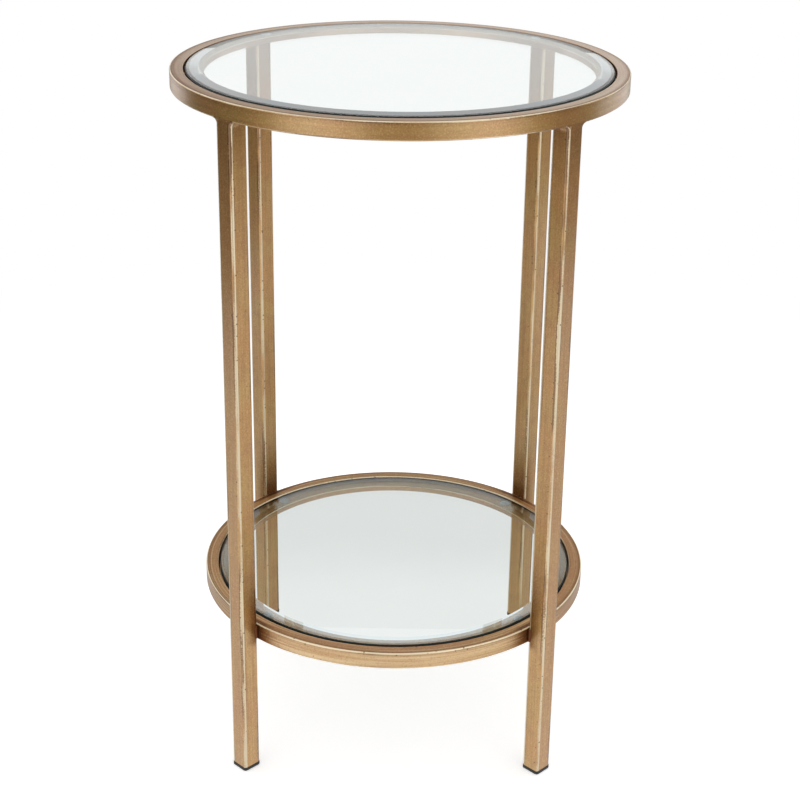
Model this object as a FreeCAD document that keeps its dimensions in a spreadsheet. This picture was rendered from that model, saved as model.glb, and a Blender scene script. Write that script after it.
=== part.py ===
import FreeCAD
import Part
import os
import Sketcher
from FreeCAD import Placement, Rotation, Vector

# Round two-tier side table: a welded steel frame with a lay-in bevelled glass disc in each tier.
# Millimetres. +Z is up, the origin is on the floor on the table's axis, and -Y is the front.

SIZES = (
    ("top_diameter", 400.0, "outside of the upper rim"),
    ("table_height", 632.0, "floor to the top of the upper rim"),
    ("shelf_height", 150.0, "floor to the top of the shelf rim"),
    ("rim_width", 12.0, "rim bar, measured towards the axis"),
    ("rim_height", 15.5, "rim bar, measured upwards"),
    ("rim_edge_radius", 1.0, "rounded long edges of the rim bar"),
    ("ledge_width", 17.0, "flat ring that carries the glass"),
    ("ledge_thickness", 6.0, "flat ring that carries the glass"),
    ("ledge_edge_radius", 0.8, "rounded inner edges of the ledge"),
    ("ledge_fit_gap", 0.3, "gap between ledge and rim, bridged by the stitch welds"),
    ("stitch_size", 3.0, "leg of the stitch weld under the ledge"),
    ("stitch_length", 20.0, "run of one stitch weld along the rim"),
    ("stitch_count", 8, "stitch welds in one tier"),
    ("glass_thickness", 6.0, "flat middle of the disc"),
    ("glass_stand", 1.5, "top of the disc above the rim"),
    ("glass_bevel_width", 11.0, "ground and polished bevel"),
    ("glass_bevel_drop", 1.2, "fall of the bevel towards the edge"),
    ("glass_arris", 1.0, "slope ground on the upper edge, outside the bevel"),
    ("glass_seam", 0.4, "sharpness taken off the lower edge"),
    ("glass_rim_gap", 1.5, "free gap between disc and rim"),
    ("pad_diameter", 10.0, "clear bumper under the glass"),
    ("pad_thickness", 1.5, "clear bumper under the glass"),
    ("pad_edge_radius", 0.4, "rounded upper edge of the bumper"),
    ("leg_size", 18.0, "square tube, across its flats"),
    ("leg_wall", 1.5, "square tube"),
    ("leg_corner_radius", 2.5, "square tube, outside"),
    ("foot_flange_height", 3.0, "foot cap under the tube's end"),
    ("foot_flange_lip", 0.4, "foot cap past the tube's faces"),
    ("foot_edge_radius", 0.8, "rounded lower edge of the foot cap"),
    ("foot_stem_height", 16.0, "plug inside the tube"),
    ("foot_stem_wall", 1.6, "hollow plug"),
    ("foot_fin_depth", 1.2, "fin past the plug's wall"),
    ("foot_fin_height", 1.4, "thickness of one fin"),
    ("foot_fin_pitch", 3.6, "fin to fin"),
    ("foot_fin_count", 4, "fins on one plug"),
    ("foot_fin_clearance", 0.1, "fin to the tube's bore"),
    ("top_weld_size", 5.0, "ground hollow bead beside a leg, under the upper rim"),
    ("shelf_weld_size", 2.0, "bead beside a leg, against the shelf rim"),
)

# The legs stand evenly round the table, half a step off its front, back and sides.
FULL_TURN = 360.0
LEG_CORNERS = ("back_right", "back_left", "front_left", "front_right")
LEG_STEP = FULL_TURN / len(LEG_CORNERS)
LEG_TURNS = {corner: LEG_STEP * index + LEG_STEP / 2 for index, corner in enumerate(LEG_CORNERS)}

doc = FreeCAD.newDocument("TieredSideTable")
sheet = doc.addObject("Spreadsheet::Sheet", "Sizes")
for row, (alias, number, meaning) in enumerate(SIZES, start=1):
    sheet.set(f"A{row}", meaning)
    sheet.set(f"B{row}", str(number))
    sheet.setAlias(f"B{row}", alias)
doc.recompute()

# Places worked out from the driving sizes.
TOP_RADIUS = "(Sizes.top_diameter / 2)"
SHELF_RADIUS = f"({TOP_RADIUS} - Sizes.leg_size)"
LEG_HALF = "(Sizes.leg_size / 2)"
LEG_CENTRE = f"({TOP_RADIUS} - {LEG_HALF})"
LEG_TOP = "(Sizes.table_height - Sizes.rim_height)"
LEG_BORE = "(Sizes.leg_size - 2 * Sizes.leg_wall)"
LEG_BORE_CORNER = "max(Sizes.leg_corner_radius - Sizes.leg_wall; Sizes.leg_wall / 4)"
LEDGE_DEPTH = "(Sizes.glass_thickness + Sizes.pad_thickness - Sizes.glass_stand)"
FOOT_STEM = f"({LEG_BORE} - 2 * Sizes.foot_fin_depth)"

# Each tier's rim: its outer radius and the height of its upper face.
TIERS = {
    "top": (TOP_RADIUS, "Sizes.table_height"),
    "shelf": (SHELF_RADIUS, "Sizes.shelf_height"),
}


def value_of(expression):
    """Number that an expression on the sheet comes to."""
    return float(doc.Sizes.evalExpression(expression))


def new_body(label, turn=0.0):
    """Body that is drawn along +X and then turned about the table's axis."""
    body = doc.addObject("PartDesign::Body", label)
    body.Label = label
    body.AllowCompound = True
    body.Placement = Placement(Vector(), Rotation(Vector(0, 0, 1), turn))
    return body


def origin_plane(body, role):
    return next(plane for plane in body.Origin.OriginFeatures if plane.Role == role)


def new_sketch(body, name, role, **offset):
    """Sketch on one of the body's own planes, moved by expressions for x, y or z."""
    sketch = body.newObject("Sketcher::SketchObject", name)
    sketch.AttachmentSupport = [(origin_plane(body, role), "")]
    sketch.MapMode = "FlatFace"
    for axis, expression in offset.items():
        sketch.setExpression(f"AttachmentOffset.Base.{axis}", expression)
    return sketch


def bind(sketch, name, expression, *constraint):
    """Dimension of a sketch that follows an expression."""
    index = sketch.addConstraint(Sketcher.Constraint(*constraint, value_of(expression)))
    sketch.renameConstraint(index, name)
    sketch.setExpression(f"Constraints.{name}", expression)


def add_outline(sketch, corners):
    """Closed outline through (x, y) corners; (x, y, (cx, cy, radius)) starts an arc about a centre."""
    places = [Vector(value_of(corner[0]), value_of(corner[1]), 0) for corner in corners]
    ends = []
    for index, corner in enumerate(corners):
        start = places[index]
        stop = places[(index + 1) % len(places)]
        if len(corner) == 2:
            sketch.addGeometry(Part.LineSegment(start, stop))
            ends.append((1, 2))
            continue
        centre = Vector(value_of(corner[2][0]), value_of(corner[2][1]), 0)
        upright = Vector(0, 0, 1)
        forward = (start - centre).cross(stop - centre).z > 0
        circle = Part.Circle(centre, upright, (start - centre).Length)
        first, last = (start, stop) if forward else (stop, start)
        sketch.addGeometry(Part.ArcOfCircle(circle, circle.parameter(first), circle.parameter(last)))
        ends.append((1, 2) if forward else (2, 1))
    for index, corner in enumerate(corners):
        after = (index + 1) % len(corners)
        sketch.addConstraint(
            Sketcher.Constraint("Coincident", index, ends[index][1], after, ends[after][0])
        )
        if corner[0] == "0":
            sketch.addConstraint(Sketcher.Constraint("PointOnObject", index, ends[index][0], -2))
        else:
            bind(sketch, f"across{index}", corner[0], "DistanceX", -1, 1, index, ends[index][0])
        bind(sketch, f"up{index}", corner[1], "DistanceY", -1, 1, index, ends[index][0])
        if len(corner) == 3:
            bind(sketch, f"radius{index}", corner[2][2], "Radius", index)


def add_rounded_square(sketch, name, side, corner_radius):
    """Square with rounded corners, centred on the sketch's origin."""
    half = value_of(side) / 2
    radius = value_of(corner_radius)
    flat = half - radius
    first = sketch.GeometryCount
    lines = [first, first + 2, first + 4, first + 6]
    arcs = [first + 1, first + 3, first + 5, first + 7]
    for quarter in range(4):
        turn = Rotation(Vector(0, 0, 1), 90 * quarter)
        start = turn.multVec(Vector(-flat, -half, 0))
        stop = turn.multVec(Vector(flat, -half, 0))
        after = turn.multVec(Vector(half, -flat, 0))
        circle = Part.Circle(turn.multVec(Vector(flat, -flat, 0)), Vector(0, 0, 1), radius)
        sketch.addGeometry(Part.LineSegment(start, stop))
        sketch.addGeometry(Part.ArcOfCircle(circle, circle.parameter(stop), circle.parameter(after)))
    for quarter in range(4):
        following = lines[(quarter + 1) % 4]
        level = "Horizontal" if quarter % 2 == 0 else "Vertical"
        sketch.addConstraint(Sketcher.Constraint("Tangent", lines[quarter], 2, arcs[quarter], 1))
        sketch.addConstraint(Sketcher.Constraint("Tangent", arcs[quarter], 2, following, 1))
        sketch.addConstraint(Sketcher.Constraint(level, lines[quarter]))
    for arc in arcs[1:]:
        sketch.addConstraint(Sketcher.Constraint("Equal", arcs[0], arc))
    bottom, right, top, left = lines
    sketch.addConstraint(Sketcher.Constraint("Symmetric", bottom, 1, top, 1, -1, 1))
    bind(sketch, f"{name}_width", side, "DistanceX", left, 1, right, 1)
    bind(sketch, f"{name}_depth", side, "DistanceY", bottom, 1, top, 1)
    bind(sketch, f"{name}_corner", corner_radius, "Radius", arcs[0])


def pad(body, sketch, name, length):
    feature = body.newObject("PartDesign::Pad", name)
    feature.Profile = sketch
    feature.setExpression("Length", length)
    return feature


def revolve(body, sketch, name):
    """Profile turned a whole turn about the table's axis."""
    feature = body.newObject("PartDesign::Revolution", name)
    feature.Profile = sketch
    feature.ReferenceAxis = (sketch, ["V_Axis"])
    feature.Angle = FULL_TURN
    return feature


def round_edges(body, base, name, radius, chosen):
    """Rounds the edges of a feature for which chosen(edge) is true."""
    doc.recompute()
    names = [f"Edge{i}" for i, edge in enumerate(base.Shape.Edges, start=1) if chosen(edge)]
    feature = body.newObject("PartDesign::Fillet", name)
    feature.Base = (base, names)
    feature.setExpression("Radius", radius)
    return feature


def mirror_across(body, feature, name):
    """The same feature on the other side of the leg."""
    mirrored = body.newObject("PartDesign::Mirrored", name)
    mirrored.Originals = [feature]
    mirrored.MirrorPlane = (origin_plane(body, "XZ_Plane"), [""])
    body.Tip = mirrored


def is_circle(edge):
    return isinstance(edge.Curve, Part.Circle)


def make_rim(tier):
    """Rolled bar ring with rounded long edges."""
    radius, height = TIERS[tier]
    inner = f"({radius} - Sizes.rim_width)"
    low = f"({height} - Sizes.rim_height)"
    body = new_body(f"{tier}_rim")
    section = new_sketch(body, f"{tier}_rim_section", "XZ_Plane")
    add_outline(section, [(inner, low), (radius, low), (radius, height), (inner, height)])
    ring = revolve(body, section, f"{tier}_rim_ring")
    round_edges(body, ring, f"{tier}_rim_edges", "Sizes.rim_edge_radius", is_circle)
    return body


def make_ledge(tier):
    """Flat ring inside the rim that carries the glass."""
    radius, height = TIERS[tier]
    outer = f"({radius} - Sizes.rim_width - Sizes.ledge_fit_gap)"
    inner = f"({outer} - Sizes.ledge_width)"
    high = f"({height} - {LEDGE_DEPTH})"
    low = f"({high} - Sizes.ledge_thickness)"
    middle = value_of(f"({inner} + {outer}) / 2")
    body = new_body(f"{tier}_ledge")
    section = new_sketch(body, f"{tier}_ledge_section", "XZ_Plane")
    add_outline(section, [(inner, low), (outer, low), (outer, high), (inner, high)])
    ring = revolve(body, section, f"{tier}_ledge_ring")
    round_edges(
        body, ring, f"{tier}_ledge_edges", "Sizes.ledge_edge_radius",
        lambda edge: is_circle(edge) and edge.Curve.Radius < middle,
    )
    return body


def make_stitches(tier):
    """Short fillet welds in the corner under the ledge, spread round the rim."""
    radius, height = TIERS[tier]
    wall = f"({radius} - Sizes.rim_width)"
    high = f"({height} - {LEDGE_DEPTH} - Sizes.ledge_thickness)"
    low = f"({high} - Sizes.stitch_size)"
    reach = f"({wall} - Sizes.ledge_fit_gap - Sizes.stitch_size)"
    body = new_body(f"{tier}_ledge_welds", value_of("180 / Sizes.stitch_count"))
    section = new_sketch(body, f"{tier}_stitch_section", "XZ_Plane")
    add_outline(section, [(reach, high), (wall, low), (wall, high)])
    stitch = revolve(body, section, f"{tier}_stitch")
    stitch.Midplane = True
    stitch.setExpression("Angle", f"Sizes.stitch_length / {wall} * 180 / pi")
    doc.recompute()
    pattern = body.newObject("PartDesign::PolarPattern", f"{tier}_stitches")
    pattern.Originals = [stitch]
    pattern.Axis = (section, ["V_Axis"])
    pattern.Angle = FULL_TURN
    pattern.setExpression("Occurrences", "Sizes.stitch_count")
    body.Tip = pattern
    return body


def make_glass(tier):
    """Disc that stands a little above the rim, with a bevel and an arris ground round its upper face."""
    radius, height = TIERS[tier]
    edge = f"({radius} - Sizes.rim_width - Sizes.glass_rim_gap)"
    high = f"({height} + Sizes.glass_stand)"
    low = f"({high} - Sizes.glass_thickness)"
    slope_foot = f"({high} - Sizes.glass_bevel_drop)"
    body = new_body(f"{tier}_glass")
    section = new_sketch(body, f"{tier}_glass_section", "XZ_Plane")
    add_outline(section, [
        ("0", low),
        (f"{edge} - Sizes.glass_seam", low),
        (edge, f"{low} + Sizes.glass_seam"),
        (edge, f"{slope_foot} - Sizes.glass_arris"),
        (f"{edge} - Sizes.glass_arris", slope_foot),
        (f"{edge} - Sizes.glass_arris - Sizes.glass_bevel_width", high),
        ("0", high),
    ])
    revolve(body, section, f"{tier}_glass_disc")
    return body


def make_pad(tier, corner):
    """Clear round bumper stuck on the ledge beside a leg."""
    radius, height = TIERS[tier]
    place = f"{radius} - Sizes.rim_width - Sizes.ledge_fit_gap - Sizes.ledge_width / 2"
    seat = f"{height} - {LEDGE_DEPTH}"
    body = new_body(f"{tier}_bumper_{corner}", LEG_TURNS[corner])
    outline = new_sketch(body, f"{tier}_bumper_outline_{corner}", "XY_Plane", x=place, z=seat)
    outline.addGeometry(Part.Circle(Vector(), Vector(0, 0, 1), value_of("Sizes.pad_diameter / 2")))
    outline.addConstraint(Sketcher.Constraint("Coincident", 0, 3, -1, 1))
    bind(outline, "diameter", "Sizes.pad_diameter", "Diameter", 0)
    disc = pad(body, outline, f"{tier}_bumper_disc_{corner}", "Sizes.pad_thickness")
    middle = value_of(f"{seat} + Sizes.pad_thickness / 2")
    round_edges(
        body, disc, f"{tier}_bumper_edge_{corner}", "Sizes.pad_edge_radius",
        lambda edge: is_circle(edge) and edge.Curve.Center.z > middle,
    )
    return body


def make_leg(corner):
    """Square tube, its outer face flush with the upper rim, cut square under it."""
    body = new_body(f"leg_{corner}", LEG_TURNS[corner])
    section = new_sketch(
        body, f"leg_section_{corner}", "XY_Plane", x=LEG_CENTRE, z="Sizes.foot_flange_height"
    )
    add_rounded_square(section, "outside", "Sizes.leg_size", "Sizes.leg_corner_radius")
    add_rounded_square(section, "bore", LEG_BORE, LEG_BORE_CORNER)
    pad(body, section, f"leg_tube_{corner}", f"{LEG_TOP} - Sizes.foot_flange_height")
    return body


def make_foot(corner):
    """Finned plastic plug in the tube's lower end, with a flange that stands on the floor."""
    body = new_body(f"foot_cap_{corner}", LEG_TURNS[corner])

    def square_sketch(name, side, corner_radius, height):
        sketch = new_sketch(body, f"foot_{name}_{corner}", "XY_Plane", x=LEG_CENTRE, z=height)
        add_rounded_square(sketch, name, side, corner_radius)
        return sketch

    flange_outline = square_sketch(
        "flange_outline", "Sizes.leg_size + 2 * Sizes.foot_flange_lip",
        "Sizes.leg_corner_radius + Sizes.foot_flange_lip", "0",
    )
    flange = pad(body, flange_outline, f"foot_flange_{corner}", "Sizes.foot_flange_height")
    middle = value_of("Sizes.foot_flange_height / 2")
    round_edges(
        body, flange, f"foot_edge_{corner}", "Sizes.foot_edge_radius",
        lambda edge: edge.BoundBox.ZMax < middle,
    )
    stem_outline = square_sketch("stem_outline", FOOT_STEM, LEG_BORE_CORNER, "Sizes.foot_flange_height")
    pad(body, stem_outline, f"foot_stem_{corner}", "Sizes.foot_stem_height")
    fin_outline = square_sketch(
        "fin_outline", f"{LEG_BORE} - 2 * Sizes.foot_fin_clearance", LEG_BORE_CORNER,
        "Sizes.foot_flange_height + Sizes.foot_fin_pitch",
    )
    fin = pad(body, fin_outline, f"foot_fin_{corner}", "Sizes.foot_fin_height")
    doc.recompute()
    fins = body.newObject("PartDesign::LinearPattern", f"foot_fins_{corner}")
    fins.Originals = [fin]
    fins.Direction = (fin_outline, ["N_Axis"])
    fins.setExpression("Length", "Sizes.foot_fin_pitch * (Sizes.foot_fin_count - 1)")
    fins.setExpression("Occurrences", "Sizes.foot_fin_count")
    body.Tip = fins
    hollow_outline = square_sketch(
        "hollow_outline", f"{FOOT_STEM} - 2 * Sizes.foot_stem_wall", LEG_BORE_CORNER,
        "Sizes.foot_flange_height + Sizes.foot_stem_height",
    )
    hollow = body.newObject("PartDesign::Pocket", f"foot_hollow_{corner}")
    hollow.Profile = hollow_outline
    hollow.setExpression("Length", "Sizes.foot_stem_height")
    return body


def make_top_weld(corner):
    """Ground hollow beads in the corners between a leg's sides and the upper rim's underside."""
    body = new_body(f"top_weld_{corner}", LEG_TURNS[corner])
    start = f"{TOP_RADIUS} - Sizes.rim_width + Sizes.rim_edge_radius"
    bead_end = f"({LEG_HALF} + Sizes.top_weld_size)"
    bead_foot = f"({LEG_TOP} - Sizes.top_weld_size)"
    section = new_sketch(body, f"top_weld_section_{corner}", "YZ_Plane", z=start)
    add_outline(section, [
        (LEG_HALF, LEG_TOP),
        (LEG_HALF, bead_foot, (bead_end, bead_foot, "Sizes.top_weld_size")),
        (bead_end, LEG_TOP),
    ])
    run = "Sizes.rim_width - Sizes.rim_edge_radius - Sizes.leg_corner_radius"
    bead = pad(body, section, f"top_weld_bead_{corner}", run)
    doc.recompute()
    mirror_across(body, bead, f"top_weld_pair_{corner}")
    return body


def make_shelf_weld(corner):
    """Beads that fill the grooves between a leg's rounded corners and the shelf rim."""
    body = new_body(f"shelf_weld_{corner}", LEG_TURNS[corner])
    groove = f"({LEG_HALF} - Sizes.leg_corner_radius)"
    bead_end = f"({LEG_HALF} + Sizes.shelf_weld_size)"
    flank = f"({SHELF_RADIUS} + Sizes.leg_corner_radius)"
    section = new_sketch(
        body, f"shelf_weld_section_{corner}", "XY_Plane",
        z="Sizes.shelf_height - Sizes.rim_height + Sizes.rim_edge_radius",
    )
    add_outline(section, [
        (f"sqrt({SHELF_RADIUS}^2 - {groove}^2)", groove),
        (SHELF_RADIUS, groove, (flank, groove, "Sizes.leg_corner_radius")),
        (flank, LEG_HALF),
        (f"sqrt({SHELF_RADIUS}^2 - {bead_end}^2)", bead_end, ("0", "0", SHELF_RADIUS)),
    ])
    run = "Sizes.rim_height - 2 * Sizes.rim_edge_radius"
    bead = pad(body, section, f"shelf_weld_bead_{corner}", run)
    doc.recompute()
    mirror_across(body, bead, f"shelf_weld_pair_{corner}")
    return body


pieces = []
for tier_name in TIERS:
    pieces.append(make_rim(tier_name))
    pieces.append(make_ledge(tier_name))
    pieces.append(make_stitches(tier_name))
    pieces.append(make_glass(tier_name))
    pieces.extend(make_pad(tier_name, corner_name) for corner_name in LEG_TURNS)
for corner_name in LEG_TURNS:
    pieces.append(make_leg(corner_name))
    pieces.append(make_foot(corner_name))
    pieces.append(make_top_weld(corner_name))
    pieces.append(make_shelf_weld(corner_name))
doc.recompute()

for item in doc.Objects:
    if "Invalid" in item.State or "Error" in item.State:
        raise RuntimeError(f"{item.Label} did not build: {item.State}")
for piece in pieces:
    if piece.Shape.isNull() or not piece.Shape.isValid() or not piece.Shape.Solids:
        raise RuntimeError(f"{piece.Label} has no valid solid")

os.makedirs("parts", exist_ok=True)
for piece in pieces:
    piece.Shape.exportStep(f"parts/{piece.Label}.step")
    print(piece.Label, len(piece.Shape.Solids), round(piece.Shape.Volume, 1))
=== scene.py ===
import functools
import math

import bpy
import numpy as np
from mathutils import Matrix, Vector


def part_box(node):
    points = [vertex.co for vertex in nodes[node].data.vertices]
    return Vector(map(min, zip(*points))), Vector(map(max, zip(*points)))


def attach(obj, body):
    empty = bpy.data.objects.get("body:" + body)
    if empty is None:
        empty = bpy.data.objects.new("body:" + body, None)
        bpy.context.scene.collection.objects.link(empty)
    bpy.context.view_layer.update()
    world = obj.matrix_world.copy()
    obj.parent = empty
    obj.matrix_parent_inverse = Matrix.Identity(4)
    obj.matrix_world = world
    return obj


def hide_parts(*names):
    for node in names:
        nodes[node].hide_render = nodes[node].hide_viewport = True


# Round two-tier side table: a welded frame in hand-rubbed antique gold, with a bevelled glass disc in each tier.
# Metres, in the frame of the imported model: +Z is up, the floor is at 0 and -Y is the front.

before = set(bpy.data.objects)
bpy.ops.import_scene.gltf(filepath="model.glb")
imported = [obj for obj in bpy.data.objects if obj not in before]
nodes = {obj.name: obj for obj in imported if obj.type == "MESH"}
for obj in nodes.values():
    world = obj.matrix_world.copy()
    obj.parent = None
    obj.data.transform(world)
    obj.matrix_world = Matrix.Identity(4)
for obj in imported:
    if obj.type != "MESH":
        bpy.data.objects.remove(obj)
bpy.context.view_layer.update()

MM = 0.001
CORNERS = {"back_right": 45, "back_left": 135, "front_left": 225, "front_right": 315}  # turn from +X in degrees
TIERS = ("top", "shelf")

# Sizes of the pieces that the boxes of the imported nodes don't give.
RIM_WIDTH = 12 * MM
RIM_EDGE = 1.0 * MM
LEDGE_WIDTH = 17 * MM
LEDGE_EDGE = 0.8 * MM
GLASS_BEVEL = 11 * MM
GLASS_DROP = 1.2 * MM
GLASS_ARRIS = 1.0 * MM
GLASS_SEAM = 0.4 * MM
GLASS_SIGHT = 2.5 * MM        # outermost strip of the bevel, through which the ground edge, dark with painted shade, is seen
TUBE = 18 * MM
TUBE_WALL = 1.5 * MM
TUBE_CORNER = 2.5 * MM
TUBE_END = 0.3 * MM
TOP_WELD = 5 * MM
TOP_WELD_FILL = RIM_EDGE + 0.2 * MM  # how far the weld goes up past the rim's rounded lower edge
SHELF_WELD = 2 * MM
WELD_STEP = 1.7 * MM          # from one ripple of a weld bead to the next
WELD_RIPPLE = 0.05            # height of a ripple as a share of the bead
SUPPORT = 0.2 * MM            # row of points beside a rounded edge that keeps the flat's shading flat
SKIN = 0.02 * MM              # how far ground weld metal lies over the faces that it levels
FLAT = 0.999                  # a normal that lies along an axis by more than this belongs to a flat

# Wear, glaze, painted shade and painted highlight, as lengths and as shares. A rub over 1 makes the pale strip of an
# edge wider and less broken.
WEAR_REACH = 4 * MM           # how far the rubbing of an edge can run out over a flat
CROWN_FALL = 0.25             # by how much the rubbing is weaker where a rounded edge begins than where it ends
RIM_RUB = {                   # outer upper, inner upper, inner lower and outer lower edge
    "top": (1.05, 0.8, 0.6, 0.9),
    "shelf": (1.15, 1.1, 0.6, 0.9),
}
RUB_MEAN, FACING_HIGHLIGHT_SWING = 0.92, 0.12     # a rim's rubbing, and a painted highlight that makes it paler on the edges facing the front
RIM_BROWNING = {"top": (0.5, 0.6), "shelf": (0, 0.7)}  # brown on the upper face, and a line of glaze beside the outer edge
INNER_WALL = (0.4, 0.8)       # inward part of a normal at which the inner wall's painted shade begins and is full
LEG_SHADE_REACH = 30 * MM          # how far painted shade runs along the shelf rim from a leg
HEAD_SHADE = 60 * MM          # how far painted shade runs down a leg from the upper rim
SHELF_SHADE = 90 * MM         # how far painted shade runs up a leg from the shelf rim
SHELF_SHADE_DOWN = 8 * MM     # how far it runs down from there
CLEAN_FACE = 1.5 * MM         # depth under a leg's outer face that the painted shade round the shelf doesn't reach
RED_FACE = (3 * MM, 0.6 * MM)        # depth under the outer face at which its redder gold begins and is full
HIGHLIGHT_FRONT = (-0.135, -0.165)      # Y at which the painted highlight of the front begins and is full


def linear(code):
    """Colour from sRGB hex: c / 12.92 below 0.04045, and ((c + 0.055) / 1.055)^2.4 above."""
    srgb = np.array([int(code[i:i + 2], 16) for i in (1, 3, 5)]) / 255
    return (*np.where(srgb <= 0.04045, srgb / 12.92, ((srgb + 0.055) / 1.055) ** 2.4), 1.0)


def smooth(value, start, stop):
    """Rise from 0 at start to 1 at stop along 3t^2 - 2t^3."""
    t = np.clip((value - start) / (stop - start), 0, 1)
    return t * t * (3 - 2 * t)


# Surfaces


def surface_piece(name, grid, ring=True, edge=0.0, glaze_and_shade=0.0, crease=35, zones=None):
    """Mesh over grid[row, column]: columns close on themselves, and rows close too if ring, or else end in a pole
    at the middle of the first and last row. Faces are turned outwards by the sign of the enclosed volume,
    the sum of a . (b x c) / 6 over triangles. edge is 1 on rubbed edges and falls to 0 away from them, the second
    mark is 1 where brown glaze is left or brown shade is painted, and zones gives each band between two rows its
    number of finish."""
    rows, columns = grid.shape[:2]
    here = np.arange(rows * columns).reshape(rows, columns)
    beside = np.roll(here, -1, axis=1)
    quads = np.stack([here, beside, np.roll(beside, -1, axis=0), np.roll(here, -1, axis=0)], axis=-1)
    points = grid.reshape(-1, 3)
    marks = {"edge": edge, "glaze_and_shade": glaze_and_shade}
    marks = {mark: np.broadcast_to(value, (rows, columns)).ravel() for mark, value in marks.items()}
    fans = np.zeros((0, 3), int)
    if not ring:
        quads = quads[:-1]
        first = np.full(columns, rows * columns)
        fans = np.concatenate([
            np.stack([beside[0], here[0], first], axis=-1),
            np.stack([here[-1], beside[-1], first + 1], axis=-1),
        ])
        points = np.concatenate([points, grid[[0, -1]].mean(axis=1)])
        marks = {mark: np.append(value, [0, 0]) for mark, value in marks.items()}
    quads = quads.reshape(-1, 4)
    triangles = np.concatenate([quads[:, [0, 1, 2]], quads[:, [0, 2, 3]], fans])
    a, b, c = points[triangles[:, 0]], points[triangles[:, 1]], points[triangles[:, 2]]
    if np.sum(a * np.cross(b, c)) < 0:
        quads, fans = quads[:, ::-1], fans[:, ::-1]

    mesh = bpy.data.meshes.new(name)
    sizes = np.concatenate([np.full(len(quads), 4), np.full(len(fans), 3)])
    mesh.vertices.add(len(points))
    mesh.vertices.foreach_set("co", points.ravel())
    mesh.loops.add(int(sizes.sum()))
    mesh.loops.foreach_set("vertex_index", np.concatenate([quads.ravel(), fans.ravel()]))
    mesh.polygons.add(len(sizes))
    mesh.polygons.foreach_set("loop_start", np.cumsum(sizes) - sizes)
    if zones is not None:
        bands = np.repeat(zones, columns)
        mesh.polygons.foreach_set("material_index", np.concatenate([bands, np.zeros(len(fans), int)]))
    mesh.update(calc_edges=True)
    mesh.shade_smooth()
    mesh.set_sharp_from_angle(angle=math.radians(crease))
    for mark, value in marks.items():
        mesh.attributes.new(mark, "FLOAT", "POINT").data.foreach_set("value", value)
    piece = bpy.data.objects.new(name, mesh)
    bpy.context.scene.collection.objects.link(piece)
    return piece


def rounded_loop(half_across, half_up, radius, steps=7, rub=(1, 1, 1, 1)):
    """Rectangle about the origin with rounded corners: each corner is its centre plus radius (cos a, sin a), and
    each flat has points at its ends, just inside them, where the wear runs out and in its middle.
    Returns the points, their outward normals and the wear: rub of a corner where its rounding ends, weaker by
    CROWN_FALL where it begins, and 0 past WEAR_REACH. The corners run from (+, +) by (-, +) and (-, -) to (+, -)."""
    points, normals, edge = [], [], []
    for quarter, (x, y) in enumerate([(1, 1), (-1, 1), (-1, -1), (1, -1)]):
        turn = np.radians(90 * quarter + np.linspace(0, 90, steps))
        normal = np.stack([np.cos(turn), np.sin(turn)], axis=-1)
        centre = np.array([x * (half_across - radius), y * (half_up - radius)])
        length = 2 * ((half_across if quarter % 2 == 0 else half_up) - radius)
        reach = min(WEAR_REACH, 0.45 * length)  # on a short flat, the points for its two ends stay in order
        away = np.array([SUPPORT, reach, length / 2, length - reach, length - SUPPORT])
        along = np.array([-normal[-1, 1], normal[-1, 0]])
        points += [centre + radius * normal, centre + radius * normal[-1] + away[:, None] * along]
        normals += [normal, np.repeat(normal[-1:], len(away), axis=0)]
        crown = 1 - CROWN_FALL * np.linspace(1, 0, steps)
        here, after = rub[quarter], rub[quarter - 3]
        side = np.maximum(here * (1 - away / WEAR_REACH), after * (1 - (length - away) / WEAR_REACH))
        edge += [here * crown, (1 - CROWN_FALL) * np.clip(side, 0, 1)]
    return np.concatenate(points), np.concatenate(normals), np.concatenate(edge)


def turned_ring(section, steps=360):
    """Section of (radius, height) points carried round the table's axis: (r cos t, r sin t, z)."""
    t = np.linspace(0, 2 * np.pi, steps, endpoint=False)[:, None]
    radius, height = section[:, 0], section[:, 1]
    return np.stack([radius * np.cos(t), radius * np.sin(t), height + 0 * t], axis=-1)


def turn_about_axis(grid, degrees):
    """Grid turned about the table's axis, from the +X side to a leg's corner."""
    c, s = math.cos(math.radians(degrees)), math.sin(math.radians(degrees))
    return grid @ np.array([[c, s, 0], [-s, c, 0], [0, 0, 1]])


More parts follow.
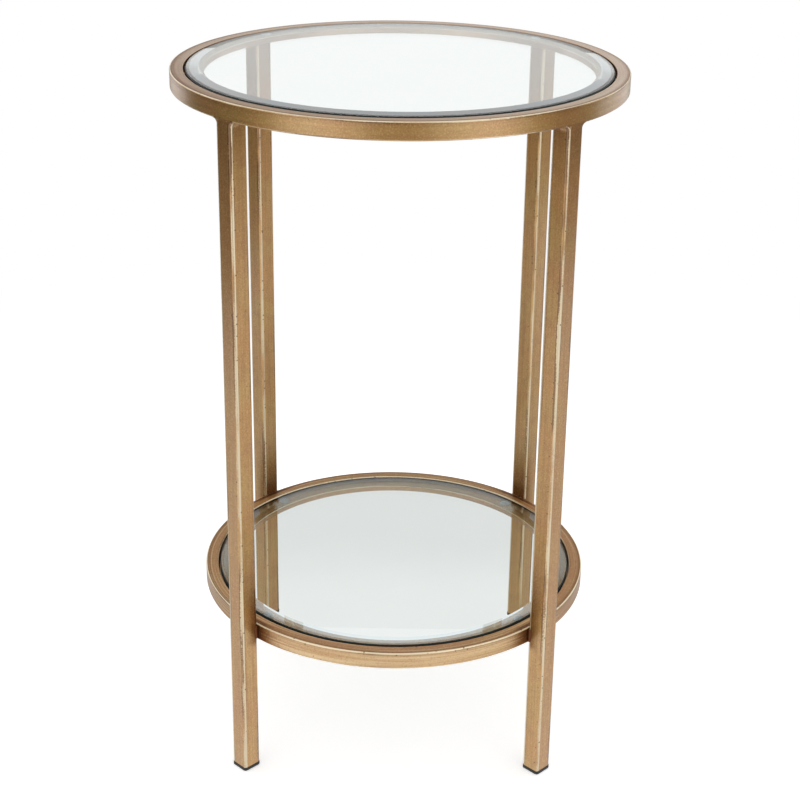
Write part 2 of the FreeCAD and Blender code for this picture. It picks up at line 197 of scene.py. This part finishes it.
def rim_surface(tier):
    """Rolled bar: a rounded rectangle carried round the axis. Its rubbing is the mean less the swing times sin t on
    the outer half and plus it on the inner half, so the outer edges are palest at the front and the inner ones at
    the back: the swing is a painted highlight on the edges that face the front. The inner wall is darkened brown
    with painted shade.
    The upper face is browner towards the front left, as (1 + cos) / 2 of the turn from there, and brown glaze lies in
    a line on both sides of the outer edge.
    On the shelf rim, brown painted shade lies on the outer face beside each leg and runs out over the reach set for
    it."""
    low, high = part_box(f"{tier}_rim")
    half_up = (high.z - low.z) / 2
    loop, normal, edge = rounded_loop(RIM_WIDTH / 2, half_up, RIM_EDGE, rub=RIM_RUB[tier])
    film, line = RIM_BROWNING[tier]
    on_top, on_face = normal[:, 1] > FLAT, normal[:, 0] > FLAT
    from_edge = np.where(on_top, RIM_WIDTH / 2 - loop[:, 0], half_up - loop[:, 1]) - RIM_EDGE
    beside = line * np.clip(1 - from_edge / WEAR_REACH, 0, 1) * (from_edge > SUPPORT / 2)
    grid = turned_ring(loop + [high.x - RIM_WIDTH / 2, (high.z + low.z) / 2])
    turn = np.arctan2(grid[:, :1, 1], grid[:, :1, 0])
    # Painted highlight: outer edges paler at the front, inner edges paler at the back.
    edge = edge * (RUB_MEAN - FACING_HIGHLIGHT_SWING * np.sin(turn) * np.sign(loop[:, 0]))
    # Painted shade on the shelf rim's outer face beside each leg.
    from_leg = np.abs((turn % (np.pi / 2)) - np.pi / 4) * high.x - TUBE / 2
    glaze_and_shade = (1 - smooth(from_leg, 0, LEG_SHADE_REACH)) * (loop[:, 0] > 0) * (tier == "shelf")
    film = film * (1 + np.cos(turn - np.radians(CORNERS["front_left"]))) / 2
    glaze_and_shade = np.maximum(glaze_and_shade, on_top * (film + beside) + on_face * beside / 2)
    # Painted shade: the rim's inner wall is darkened brown.
    glaze_and_shade = np.maximum(glaze_and_shade, smooth(-normal[:, 0], *INNER_WALL))
    return surface_piece(f"{tier}_rim_bar", grid, edge=edge, glaze_and_shade=glaze_and_shade)


def ledge_surface(tier):
    """Flat ring: a thin rounded rectangle carried round the axis, rubbed along its free inner edges."""
    low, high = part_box(f"{tier}_ledge")
    loop, _, edge = rounded_loop(LEDGE_WIDTH / 2, (high.z - low.z) / 2, LEDGE_EDGE, rub=(0, 1, 0.9, 0))
    section = loop + [high.x - LEDGE_WIDTH / 2, (high.z + low.z) / 2]
    return surface_piece(f"{tier}_ledge_ring", turned_ring(section), edge=edge)


def glass_surface(tier):
    """Disc turned about the axis: flat underside, seam, upright edge, arris, sloped bevel and flat top. The flats,
    the bevel and the ground edge have finishes of their own, and the bevel's outermost strip is as clear as the
    flats, so that the ground edge shows through it. The bevel slopes by about 6 degrees, so a crease is sharp from
    4 degrees on."""
    low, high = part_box(f"{tier}_glass")
    radius, foot = high.x, high.z - GLASS_DROP
    flat = radius - GLASS_ARRIS - GLASS_BEVEL
    section = np.array([
        (radius / 2, low.z),
        (radius - GLASS_SEAM, low.z),
        (radius, low.z + GLASS_SEAM),
        (radius, foot - GLASS_ARRIS),
        (radius - GLASS_ARRIS, foot),
        (radius - GLASS_ARRIS - GLASS_SIGHT, foot + GLASS_DROP * GLASS_SIGHT / GLASS_BEVEL),
        (flat, high.z),
        (flat / 2, high.z),
    ])
    polished, bevelled, ground = range(3)
    zones = [polished, ground, ground, ground, polished, bevelled, polished]
    grid = turned_ring(section).transpose(1, 0, 2)
    return surface_piece(f"{tier}_glass_disc", grid, ring=False, crease=4, zones=zones)


def leg_surface(corner):
    """Square tube: the outline moved inwards along its normals by the depth of a wall section, which goes up the
    outside, over the upper end, down the bore and back under the lower end."""
    low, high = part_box(f"leg_{corner}")
    outline, normal, edge = rounded_loop(TUBE / 2, TUBE / 2, TUBE_CORNER)
    middle, half = (high.z + low.z) / 2, (high.z - low.z) / 2
    wall, _, _ = rounded_loop(TUBE_WALL / 2, half, TUBE_END, steps=4)
    depth, height = TUBE_WALL / 2 - wall[:, 0], middle + wall[:, 1]
    level = outline - depth[:, None, None] * normal
    grid = np.concatenate([level, np.broadcast_to(height[:, None, None], level.shape[:2] + (1,))], axis=-1)
    from_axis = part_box("top_rim")[1].x - TUBE / 2
    grid = turn_about_axis(grid + [from_axis, 0, 0], CORNERS[corner])
    return surface_piece(f"leg_tube_{corner}", grid, edge=edge)


def top_weld_surface(corner):
    """Ground weld of a leg's head: the tube's outline, carried up and widened along a hollow quarter circle,
    w = h + s (1 - cos a) and z = z0 + s sin a, until it lies along the rim's underside, flush with its face.
    The outer face is flat at its foot and bends into the rim's round face, x = sqrt(R^2 - y^2), at its head."""
    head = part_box(f"leg_{corner}")[1].z
    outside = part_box("top_rim")[1].x
    a = np.linspace(0, np.pi / 2, 12)
    below = TOP_WELD * np.array([-2.0, -1.5, -1.2])
    height = head + np.concatenate([below, TOP_WELD * (np.sin(a) - 1), [TOP_WELD_FILL / 2, TOP_WELD_FILL]])
    spread = np.concatenate([0 * below, TOP_WELD * (1 - np.cos(a)), [TOP_WELD, TOP_WELD]])
    half = TUBE / 2 + SKIN + spread
    depth = RIM_WIDTH - RIM_EDGE
    loop, _, edge = rounded_loop(depth / 2, TUBE / 2, TUBE_CORNER)
    x, y = loop[:, 0] + outside - depth / 2 + SKIN, loop[:, 1]
    across = np.sign(y) * np.clip(np.abs(y) + (half - TUBE / 2)[:, None], 0, None)
    across = np.where(np.abs(y) < TUBE / 2 - TUBE_CORNER - SUPPORT, y * (half / (TUBE / 2))[:, None], across)
    round_face = smooth(height, head - 2 * TOP_WELD, head)[:, None] * smooth(x, outside - depth, outside)
    out = x + round_face * (np.sqrt(outside ** 2 - across ** 2) - outside)
    grid = np.stack([out, across, np.broadcast_to(height[:, None], across.shape)], axis=-1)
    inner = smooth(x, outside - depth, outside - depth / 2)
    grid = turn_about_axis(grid, CORNERS[corner])
    return surface_piece(f"top_weld_ground_{corner}", grid, ring=False, edge=edge * inner)


def shelf_weld_surface(corner, side):
    """Weld bead between a leg's side and the shelf rim: an ellipse carried upwards, rippled by the torch's steps,
    1 + r cos(2 pi z / step), and drawn in at both ends by sqrt(1 - |t|^6)."""
    low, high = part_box(f"shelf_weld_{corner}")
    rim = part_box("shelf_rim")[1].x
    out, wide, sunk = TUBE_CORNER * 0.9, SHELF_WELD * 0.7, SHELF_WELD * 0.1
    rows = np.linspace(-1, 1, 97)[:, None]
    height = (low.z + high.z) / 2 + rows * (high.z - low.z) / 2
    size = (1 - np.abs(rows) ** 6) ** 0.5 * (1 + WELD_RIPPLE * np.cos(2 * np.pi * height / WELD_STEP))
    a = np.linspace(0, 2 * np.pi, 18, endpoint=False)
    x = rim + TUBE_CORNER / 2 + size * (out * np.cos(a))
    y = TUBE / 2 - sunk + size * (wide * np.sin(a))
    grid = np.stack([x, side * y, np.broadcast_to(height, x.shape)], axis=-1)
    grid = turn_about_axis(grid, CORNERS[corner])
    # The bead is darkened brown with painted shade, the shade of the joint between leg and rim.
    return surface_piece(f"shelf_weld_bead_{corner}_{'left' if side > 0 else 'right'}", grid, ring=False, glaze_and_shade=0.9)


def bumper_surface(name):
    """Soft dome: r = R sqrt(cos a) and z = h sin a, a hair lower than the gap that it fills."""
    low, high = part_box(name)
    middle = (low + high) / 2
    a = np.linspace(0, np.pi / 2, 10)[:-1]
    radius = (high.x - low.x) / 2 * np.append([0.5], np.sqrt(np.cos(a)))
    height = low.z + (high.z - low.z - 2 * SKIN) * np.append([0], np.sin(a))
    grid = turned_ring(np.stack([radius, height], axis=-1), steps=36).transpose(1, 0, 2)
    return surface_piece(f"{name}_dome", grid + [middle.x, middle.y, 0], ring=False)


# Finishes

SMOOTH = {"interpolation_type": "SMOOTHSTEP"}  # setting of a Map Range that rises as smooth() does


def add_node(tree, kind, inputs=(), **settings):
    """Node with its settings, and its inputs, by name or in order, set to values or linked to sockets. Returns its
    outputs."""
    node = tree.nodes.new("ShaderNode" + kind)
    for name, value in settings.items():
        setattr(node, name, value)
    for name, value in inputs.items() if isinstance(inputs, dict) else enumerate(inputs):
        if isinstance(value, bpy.types.NodeSocket):
            tree.links.new(value, node.inputs[name])
        else:
            node.inputs[name].default_value = value
    return node.outputs


def new_finish(name):
    """Empty material, and add_node for its tree."""
    material = bpy.data.materials.new(name)
    material.use_nodes = True
    material.node_tree.nodes.clear()
    return material, functools.partial(add_node, material.node_tree)


def antique_gold(name, run, shades, champagne, satin, coat=1.0, rubbing_and_highlight=0.0):
    """Steel in satin gold paint, brushed along its run, glazed brown and rubbed back to champagne on its edges.
    It gives the eye streaks of olive, orange and red gold along the bar, pale broken edges, brown glaze beside
    some of them, brown painted shade in corners and recesses, under the upper rim and round the shelf rim, and a few
    dark pits and nicks. Streaks and grain are drawn a little coarser than a brush leaves them, so that they show.
    shades are the paint's two golds, satin is its roughness between the streaks and in them, coat is the weight of
    the lacquer, which the brown glaze and painted shade dull, and the rubbing share, when given, lays pale brushed
    rubbing all round and sets how much champagne is painted on the flats at the front as a highlight."""
    material, add = new_finish(name)
    place = add("TexCoord")["Object"]
    x, y, z = add("SeparateXYZ", [place])
    level = add("CombineXYZ", (x, y))[0]
    radius = add("VectorMath", [level], operation="LENGTH")["Value"]
    bent = place
    if run == "round":
        across = add("Math", (radius, z), operation="ADD")[0]
        bent = add("CombineXYZ", (x, y, across))[0]

    def brushed(width, length, detail):
        """Noise drawn out along the brushing."""
        thin, drawn = 1 / width, 1 / length
        scale = (drawn, drawn, thin) if run == "round" else (thin, thin, drawn)
        lined = add("Mapping", {"Vector": bent, "Scale": scale})[0]
        return add("TexNoise", {"Vector": lined, "Scale": 1, "Detail": detail})[0]

    def where(*shares):
        """Part of the surface in which several things come together: the product of their shares. A share is a
        socket, or a value with its start and stop, and what it is there if that isn't 0 and 1."""
        whole, *others = (
            add("MapRange", share, **SMOOTH)[0] if isinstance(share, tuple) else share for share in shares
        )
        for other in others:
            whole = add("Math", (whole, other), operation="MULTIPLY")[0]
        return whole

    streak = brushed(1.2 * MM, 70 * MM, 4)
    band = brushed(3 * MM, 120 * MM, 2)
    # Grain of the paint, mottle, change of tone and swell of the wear: size in millimetres and detail.
    grain, mottle, tone, swell = (
        add("TexNoise", {"Vector": place, "Scale": 1 / (size * MM), "Detail": detail})[0]
        for size, detail in ((1.3, 2), (9, 4), (45, 3), (55, 2))
    )
    edge, glaze_and_shade = (add("Attribute", attribute_name=mark)["Fac"] for mark in ("edge", "glaze_and_shade"))
    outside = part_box("top_rim")[1].x
    if run == "upright":
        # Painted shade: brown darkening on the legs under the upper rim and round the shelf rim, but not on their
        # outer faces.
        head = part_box("top_rim")[0].z
        low, high = (end.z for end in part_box("shelf_rim"))
        shade_over_shelf = where(
            (z, high + SHELF_SHADE, high, 0, 0.85),
            (z, low - SHELF_SHADE_DOWN, low),
            (radius, outside - CLEAN_FACE, outside - TUBE),
        )
        for more in (shade_over_shelf, where((z, head - HEAD_SHADE, head, 0, 0.3))):
            glaze_and_shade = add("Math", (glaze_and_shade, more), operation="ADD")[0]

    # Wear of the edges: it swells and shrinks along them, and the streaks and the grain make it ragged.
    ragged = edge
    for noise, share in ((streak, 0.4), (grain, 0.2), (swell, 0.4)):
        ragged = add("Math", (noise, share, ragged), operation="MULTIPLY_ADD")[0]
    rubbed = where((ragged, 1.31, 1.46))

    # Brown glaze that stays here and there as a thin line along the rubbed strip.
    dark = where((ragged, 1.14, 1.22), (rubbed, 0.4, 0.1), (brushed(20 * MM, 90 * MM, 3), 0.44, 0.58, 0, 0.65))

    # Dots in the cells whose random value is high: pits, 7 mm apart and under a millimetre, and nicks where an edge
    # has been knocked, 3.5 mm apart and about a millimetre.
    pit_cell, nick_cell = (add("TexVoronoi", {"Vector": place, "Scale": 1 / (size * MM)}) for size in (7, 3.5))
    pit_chance, nick_chance = (add("SeparateColor", [cell["Color"]])[0] for cell in (pit_cell, nick_cell))
    pit = where((pit_cell["Distance"], 0.08, 0.04), (pit_chance, 0.84, 0.86))
    nick = where((nick_cell["Distance"], 0.26, 0.16), (nick_chance, 0.8, 0.82), (edge, 0.35, 0.6, 0, 0.8))
    for dot in (pit, nick):
        dark = add("Math", (dark, dot), operation="MAXIMUM")[0]

    # Coats over the first shade, each over the last: its colour, and the shares that say where it lies.
    coats = [(shades[1], (tone, 0.35, 0.65))]
    if run == "upright":
        start, stop = RED_FACE
        coats += [("#A5754C", (radius, outside - start, outside - stop, 0, 0.35))]
    coats += [
        ("#AE804C", (mottle, 0.45, 0.7, 0, 0.4)),
        ("#B07E4C", (band, 0.45, 0.7, 0, 0.45)),
        ("#946A38", (streak, 0.4, 0.7, 0, 0.22)),
    ]
    if rubbing_and_highlight:
        facing = add("NewGeometry")["Normal"]
        upward = add("SeparateXYZ", [facing])["Z"]
        front_highlight = (streak, 0.7, 0.3, 0.5 * rubbing_and_highlight, 1.5 * rubbing_and_highlight)
        coats += [
            ("#E2C396", (brushed(1.6 * MM, 160 * MM, 1), 0.52, 0.68, 0, 0.7)),
            # Painted highlight: champagne on the flats at the front that don't face up.
            ("#E4CBA0", (y, *HIGHLIGHT_FRONT), (upward, 0.7, 0.3), front_highlight),
        ]
    coats += [
        ("#8A6230", (grain, 0.52, 0.72, 0, 0.35)),
        ("#DDB87C", (grain, 0.48, 0.3, 0, 0.35)),
        # Brown where glaze is left and where shade is painted.
        ("#623512", glaze_and_shade, (grain, 0.3, 0.6, 0.75, 0.95)),
        (champagne, rubbed),
        ("#4E3117", dark),
    ]
    gold = linear(shades[0])
    for shade, *shares in coats:
        gold = add("Mix", {0: where(*shares), 6: gold, 7: linear(shade)}, data_type="RGBA")[2]

    relief = add("Math", (grain, 0.5, streak), operation="MULTIPLY_ADD")[0]
    relief = add("Math", (relief, pit), operation="SUBTRACT")[0]
    bump = add("Bump", {"Height": relief, "Strength": 0.25, "Distance": 0.08 * MM})[0]
    paint = add("BsdfPrincipled", {
        "Base Color": gold, "Metallic": 0.85, "Normal": bump,
        "Roughness": add("MapRange", (streak, 0.3, 0.7, *satin), **SMOOTH)[0],
        "Coat Weight": add("MapRange", (glaze_and_shade, 0.1, 0.7, coat, 0.15), **SMOOTH)[0],
        "Coat Roughness": 0.25, "Coat IOR": 1.6,
    })[0]
    add("OutputMaterial", {"Surface": paint})
    return material


def mottled(add, size, detail, first, second):
    """Noise of a real size, and the colour that wanders with it between two shades."""
    place = add("TexCoord")["Object"]
    noise = add("TexNoise", {"Vector": place, "Scale": 1 / size, "Detail": detail})[0]
    return noise, add("Mix", {0: noise, 6: linear(first), 7: linear(second)}, data_type="RGBA")[2]


def clear_glass(name, second_gloss=0.0):
    """Polished soda-lime float glass: clear, with the faint green of its iron and a breath of unevenness from the
    polishing wheel. Light from the lamps passes straight through to what lies under it. second_gloss is the gloss
    of the underside, which a bevel shows together with its own."""
    material, add = new_finish(name)
    wave, tint = mottled(add, 60 * MM, 1, "#F4F8F6", "#F0F6F4")
    glass = add("BsdfPrincipled", {
        "Base Color": tint, "Roughness": add("MapRange", (wave, 0.3, 0.7, 0, 0.012))[0], "IOR": 1.52,
        "Transmission Weight": 1.0, "Coat Weight": second_gloss, "Coat Roughness": 0.02, "Coat IOR": 2.2,
        "Coat Tint": linear("#F4FAFD"),
    })[0]
    pass_on = add("BsdfTransparent", {"Color": linear("#E7EDE9")})[0]
    to_lamp = add("LightPath")["Is Shadow Ray"]
    shown = add("MixShader", (to_lamp, glass, pass_on))[0]
    add("OutputMaterial", {"Surface": shown})
    return material


def ground_edge_painted_shade(name):
    """Edge of the glass, ground fine and not polished. Its dark bottle-green colour is painted shade, the dark of the
    gap beside the rim and of light lost along the disc, and it has a soft sheen. Its grit is drawn at 0.6 mm, far
    coarser than it is."""
    material, add = new_finish(name)
    grit, colour = mottled(add, 0.6 * MM, 3, "#141A17", "#2C3531")
    edge = add("BsdfPrincipled", {
        "Base Color": colour, "Roughness": add("MapRange", (grit, 0, 1, 0.3, 0.5))[0], "IOR": 1.52,
        "Specular IOR Level": 0.15,
    })[0]
    add("OutputMaterial", {"Surface": edge})
    return material


def moulded_black(name):
    """Injection-moulded black polyethylene with a spark-eroded mould grain: soft grey sheen, no sharp glints. The
    grain is drawn at 0.5 mm, coarser than it is."""
    material, add = new_finish(name)
    grain, colour = mottled(add, 0.5 * MM, 3, "#141416", "#26262A")
    bump = add("Bump", {"Height": grain, "Strength": 0.3, "Distance": 0.05 * MM})[0]
    plastic = add("BsdfPrincipled", {
        "Base Color": colour, "Roughness": add("MapRange", (grain, 0, 1, 0.4, 0.6))[0], "Normal": bump,
    })[0]
    add("OutputMaterial", {"Surface": plastic})
    return material


def clear_silicone(name):
    """Cast clear silicone bumper: pressed between glass and steel it shows as a pale milky dot with a soft skin."""
    material, add = new_finish(name)
    milk, colour = mottled(add, 3 * MM, 2, "#F4F3EE", "#E8E7E1")
    rubber = add("BsdfPrincipled", {
        "Base Color": colour, "Roughness": add("MapRange", (milk, 0, 1, 0.12, 0.3))[0], "IOR": 1.41,
        "Transmission Weight": 0.2,
    })[0]
    add("OutputMaterial", {"Surface": rubber})
    return material


GOLD_ROUND = antique_gold(
    "antique_gold_brushed_round", "round",
    shades=("#B28F50", "#B58850"), champagne="#ECDBB8", satin=(0.38, 0.5),
)
# Lighter copy of the rim gold for the shelf rim: its paler shades, brighter champagne and pale rubbing are partly
# wear and partly painted light.
GOLD_RUBBED_AND_LIT = antique_gold(
    "antique_gold_rubbed_lit_round", "round",
    shades=("#BC9055", "#BE8954"), champagne="#F4E3C0", satin=(0.38, 0.5), coat=0.65, rubbing_and_highlight=0.45,
)
GOLD_UPRIGHT = antique_gold(
    "antique_gold_brushed_upright", "upright",
    shades=("#C79F5C", "#C89658"), champagne="#DCCBA9", satin=(0.34, 0.46),
)
GLASS = (
    clear_glass("float_glass_polished"),
    clear_glass("float_glass_bevelled", 1.0),
    ground_edge_painted_shade("float_glass_ground_edge"),
)
BLACK = moulded_black("black_polyethylene_moulded")
SILICONE = clear_silicone("clear_silicone_cast")


# Pieces


def fit_piece(piece, body, finish, slot, *stands_for):
    """Gives a piece its finish or finishes, the body that it rides and the nodes that it stands for."""
    for coat in finish if isinstance(finish, tuple) else (finish,):
        piece.data.materials.append(coat)
    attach(piece, body)
    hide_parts(*stands_for)


def finish_node(name, finish):
    """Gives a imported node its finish."""
    nodes[name].data.materials.clear()
    nodes[name].data.materials.append(finish)


GOLD_SLOT = "antique_gold_steel"
for tier in TIERS:
    fit_piece(rim_surface(tier), "frame", GOLD_RUBBED_AND_LIT if tier == "shelf" else GOLD_ROUND, GOLD_SLOT, f"{tier}_rim")
    fit_piece(ledge_surface(tier), "frame", GOLD_ROUND, GOLD_SLOT, f"{tier}_ledge")
    fit_piece(glass_surface(tier), f"{tier}_disc", GLASS, "clear_glass", f"{tier}_glass")
    finish_node(f"{tier}_ledge_welds", GOLD_ROUND)
    for corner in CORNERS:
        bumper = f"{tier}_bumper_{corner}"
        fit_piece(bumper_surface(bumper), "frame", SILICONE, "clear_silicone", bumper)
for corner in CORNERS:
    fit_piece(leg_surface(corner), "frame", GOLD_UPRIGHT, GOLD_SLOT, f"leg_{corner}")
    fit_piece(top_weld_surface(corner), "frame", GOLD_UPRIGHT, GOLD_SLOT, f"top_weld_{corner}")
    for side in (1, -1):
        bead = shelf_weld_surface(corner, side)
        fit_piece(bead, "frame", GOLD_UPRIGHT, GOLD_SLOT, f"shelf_weld_{corner}")
    finish_node(f"foot_cap_{corner}", BLACK)


# Stage: a white paper sweep, flags and cards that only reflections see, and two soft lamps.


def white_to_lens(add):
    """1 for rays that the lens, a gloss or the glass sends straight to the stage, and 0 after a diffuse bounce."""
    path = add("LightPath")
    seen = path["Is Camera Ray"]
    for ray in ("Is Glossy Ray", "Is Transmission Ray"):
        seen = add("Math", (seen, path[ray]), operation="MAXIMUM")[0]
    direct = add("Math", (path["Diffuse Depth"], 0.5), operation="LESS_THAN")[0]
    return add("Math", (seen, direct), operation="MULTIPLY")[0]


def white_paper(name):
    """Matt white background paper. Near the table it takes shadows, and further out it is plain white. In the gloss
    of the metal it shows a painted pool of light, brightest in front of the table and falling off behind it, and
    under the glass a painted shadow that darkens behind the table."""
    material, add = new_finish(name)
    place = add("TexCoord")["Object"]
    away = add("VectorMath", [place], operation="LENGTH")["Value"]
    behind = add("SeparateXYZ", [place])["Y"]
    fade = (0.5, 1.3)  # distance at which shadows start to fade and are gone
    light = add("Emission", {"Strength": add("MapRange", (away, *fade, 0.45, 1.0), **SMOOTH)[0]})[0]
    shadow = add("BsdfDiffuse", {"Color": add("MapRange", (away, *fade, 1.0, 0.0), **SMOOTH)[0]})[0]
    shown = add("AddShader", (light, shadow))[0]
    path = add("LightPath")
    # Painted light and shade for each kind of ray: Y at which the painted brightness starts to fall and stops, the
    # brightness there, and the distance at which the paper starts to turn white and is white.
    for ray, fall, whitens in (
        ("Is Reflection Ray", (-0.3, 0.15, 1.08, 0.62), (0.6, 1.2)),
        ("Is Transmission Ray", (0.16, 0.32, 0.93, 0.83), (0.7, 1.3)),
    ):
        near = add("MapRange", (behind, *fall), **SMOOTH)[0]
        far = add("MapRange", (away, *whitens), **SMOOTH)[0]
        painted_brightness = add("Emission", {"Strength": add("Math", (near, far), operation="MAXIMUM")[0]})[0]
        shown = add("MixShader", (path[ray], shown, painted_brightness))[0]
    paper = add("BsdfDiffuse", {"Color": linear("#EDEDED")})[0]
    shown = add("MixShader", (white_to_lens(add), paper, shown))[0]
    add("OutputMaterial", {"Surface": shown})
    return material


def flag_cloth(name, first, second, thins=None):
    """Matt woven cloth in two close shades. Between two heights it may thin out to nothing, so that its upper edge
    draws no line in the glass."""
    material, add = new_finish(name)
    _, colour = mottled(add, 2 * MM, 2, first, second)
    shown = add("BsdfDiffuse", {"Color": colour})[0]
    if thins:
        place = add("TexCoord")["Object"]
        height = add("SeparateXYZ", [place])["Z"]
        thin = add("MapRange", (height, *thins), **SMOOTH)[0]
        air = add("BsdfTransparent")[0]
        shown = add("MixShader", (thin, shown, air))[0]
    add("OutputMaterial", {"Surface": shown})
    return material


def stage_sheet(name, grid, finish):
    """Open sheet over grid[row, column] for the stage."""
    rows, columns = grid.shape[:2]
    here = np.arange(rows * columns).reshape(rows, columns)
    quads = np.stack([here[:-1, :-1], here[:-1, 1:], here[1:, 1:], here[1:, :-1]], axis=-1).reshape(-1, 4)
    mesh = bpy.data.meshes.new(name)
    mesh.from_pydata(grid.reshape(-1, 3).tolist(), [], quads.tolist())
    mesh.shade_smooth()
    mesh.materials.append(finish)
    sheet = bpy.data.objects.new(name, mesh)
    bpy.context.scene.collection.objects.link(sheet)
    return sheet


def paper_sweep():
    """Floor, a quarter circle of radius r and a wall: y and z along the profile, carried across the width. The floor
    lies a hair under the feet."""
    half_width, front, back, radius, top, under = 1.4, -3.0, 2.2, 0.7, 3.2, 0.3 * MM
    a = np.linspace(0, np.pi / 2, 17)
    y = np.concatenate([[front, -1, 0, 1], back + radius * np.sin(a), [back + radius]])
    z = np.concatenate([np.zeros(4), radius * (1 - np.cos(a)), [top]]) - under
    x = np.linspace(-half_width, half_width, 3)
    grid = np.stack(np.broadcast_arrays(x[None, :], y[:, None], z[:, None]), axis=-1)
    stage_sheet("paper_sweep", grid, white_paper("white_background_paper"))


def gloss_flag(name, low, high, finish):
    """Upright rectangle of cloth or card from its low corner to the high corner across from it, that only
    reflections see."""
    (x0, y0, z0), (x1, y1, z1) = low, high
    grid = np.array([[(x0, y0, z0), (x1, y1, z0)], [(x0, y0, z1), (x1, y1, z1)]])
    flag = stage_sheet(name, grid, finish)
    flag.visible_camera = flag.visible_transmission = flag.visible_shadow = flag.visible_diffuse = False


def soft_lamp(name, place, aim, width, height, radiance):
    """Rectangular soft box whose face shines evenly at a radiance: power is radiance times pi times its area."""
    lamp = bpy.data.lights.new(name, "AREA")
    lamp.shape = "RECTANGLE"
    lamp.size, lamp.size_y = width, height
    lamp.energy = radiance * math.pi * width * height
    box = bpy.data.objects.new(name, lamp)
    box.location = place
    box.rotation_euler = (Vector(aim) - Vector(place)).to_track_quat("-Z", "Y").to_euler()
    box.visible_camera = box.visible_transmission = False
    bpy.context.scene.collection.objects.link(box)


FLAG_THINS = (0.45, 0.75)  # height at which the side flags start to thin out and are gone
paper_sweep()
brown_cloth = flag_cloth("brown_flag_cloth", "#301A08", "#3E240E", FLAG_THINS)
tan_cloth = flag_cloth("tan_flag_cloth", "#624427", "#715332", FLAG_THINS)
umber_card = flag_cloth("umber_card", "#472F18", "#563C22")
grey_card = flag_cloth("grey_card", "#C1BEBA", "#C8C4C1")
gloss_flag("flag_left", low=(-1.35, -0.8, 0), high=(-1.35, 0.85, 0.75), finish=brown_cloth)
gloss_flag("flag_right", low=(1.35, -0.75, 0.1), high=(1.35, 0.4, 0.75), finish=tan_cloth)
gloss_flag("card_front", low=(-0.5, -1.9, 0), high=(0.5, -1.9, 0.6), finish=umber_card)
gloss_flag("card_back", low=(-0.6, 0.8, 0.28), high=(0.6, 0.8, 0.72), finish=grey_card)
soft_lamp("soft_lamp_left", place=(-1.25, -1.5, 0.4), aim=(0, 0, 0.4), width=0.7, height=0.8, radiance=0.9)
soft_lamp("soft_lamp_right", place=(1.25, -1.5, 0.4), aim=(0, 0, 0.4), width=0.7, height=0.8, radiance=1.0)

world = bpy.data.worlds.new("white_studio")
bpy.context.scene.world = world
world.use_nodes = True
world.node_tree.nodes.clear()
add = functools.partial(add_node, world.node_tree)
room = add("Background", {"Color": linear("#FFFFFF"), "Strength": 0.8})[0]
white = add("Background", {"Color": linear("#FFFFFF"), "Strength": 1.0})[0]
shown = add("MixShader", (white_to_lens(add), room, white))[0]
add("OutputWorld", {"Surface": shown})

# Camera, from the fit of the rims and legs in the photograph: lengths in its image in pixels, angles in degrees.
IMAGE, FOCAL, CENTRE_ROW = 800, 1711.0, 344
CAMERA_PLACE = (0, -1.4758, 0.9568)
PITCH, YAW, ROLL = 21.681, 0.121, -0.788
SENSOR = 36
pitch, yaw, roll = (math.radians(angle) for angle in (PITCH, YAW, ROLL))
ahead = Vector((math.sin(yaw) * math.cos(pitch), math.cos(yaw) * math.cos(pitch), -math.sin(pitch)))
right = Vector((math.cos(yaw), -math.sin(yaw), 0))
down = ahead.cross(right)
right, down = (
    math.cos(roll) * right + math.sin(roll) * down,
    math.cos(roll) * down - math.sin(roll) * right,
)
lens = bpy.data.cameras.new("camera")
lens.sensor_width = SENSOR
lens.lens = FOCAL * SENSOR / IMAGE
lens.shift_y = (CENTRE_ROW - IMAGE / 2) / IMAGE
camera = bpy.data.objects.new("camera", lens)
turn = Matrix((right, -down, -ahead)).transposed()
camera.matrix_world = Matrix.Translation(CAMERA_PLACE) @ turn.to_4x4()
bpy.context.scene.collection.objects.link(camera)
bpy.context.scene.camera = camera
bpy.context.scene.view_settings.view_transform = "Standard"

bpy.context.view_layer.update()
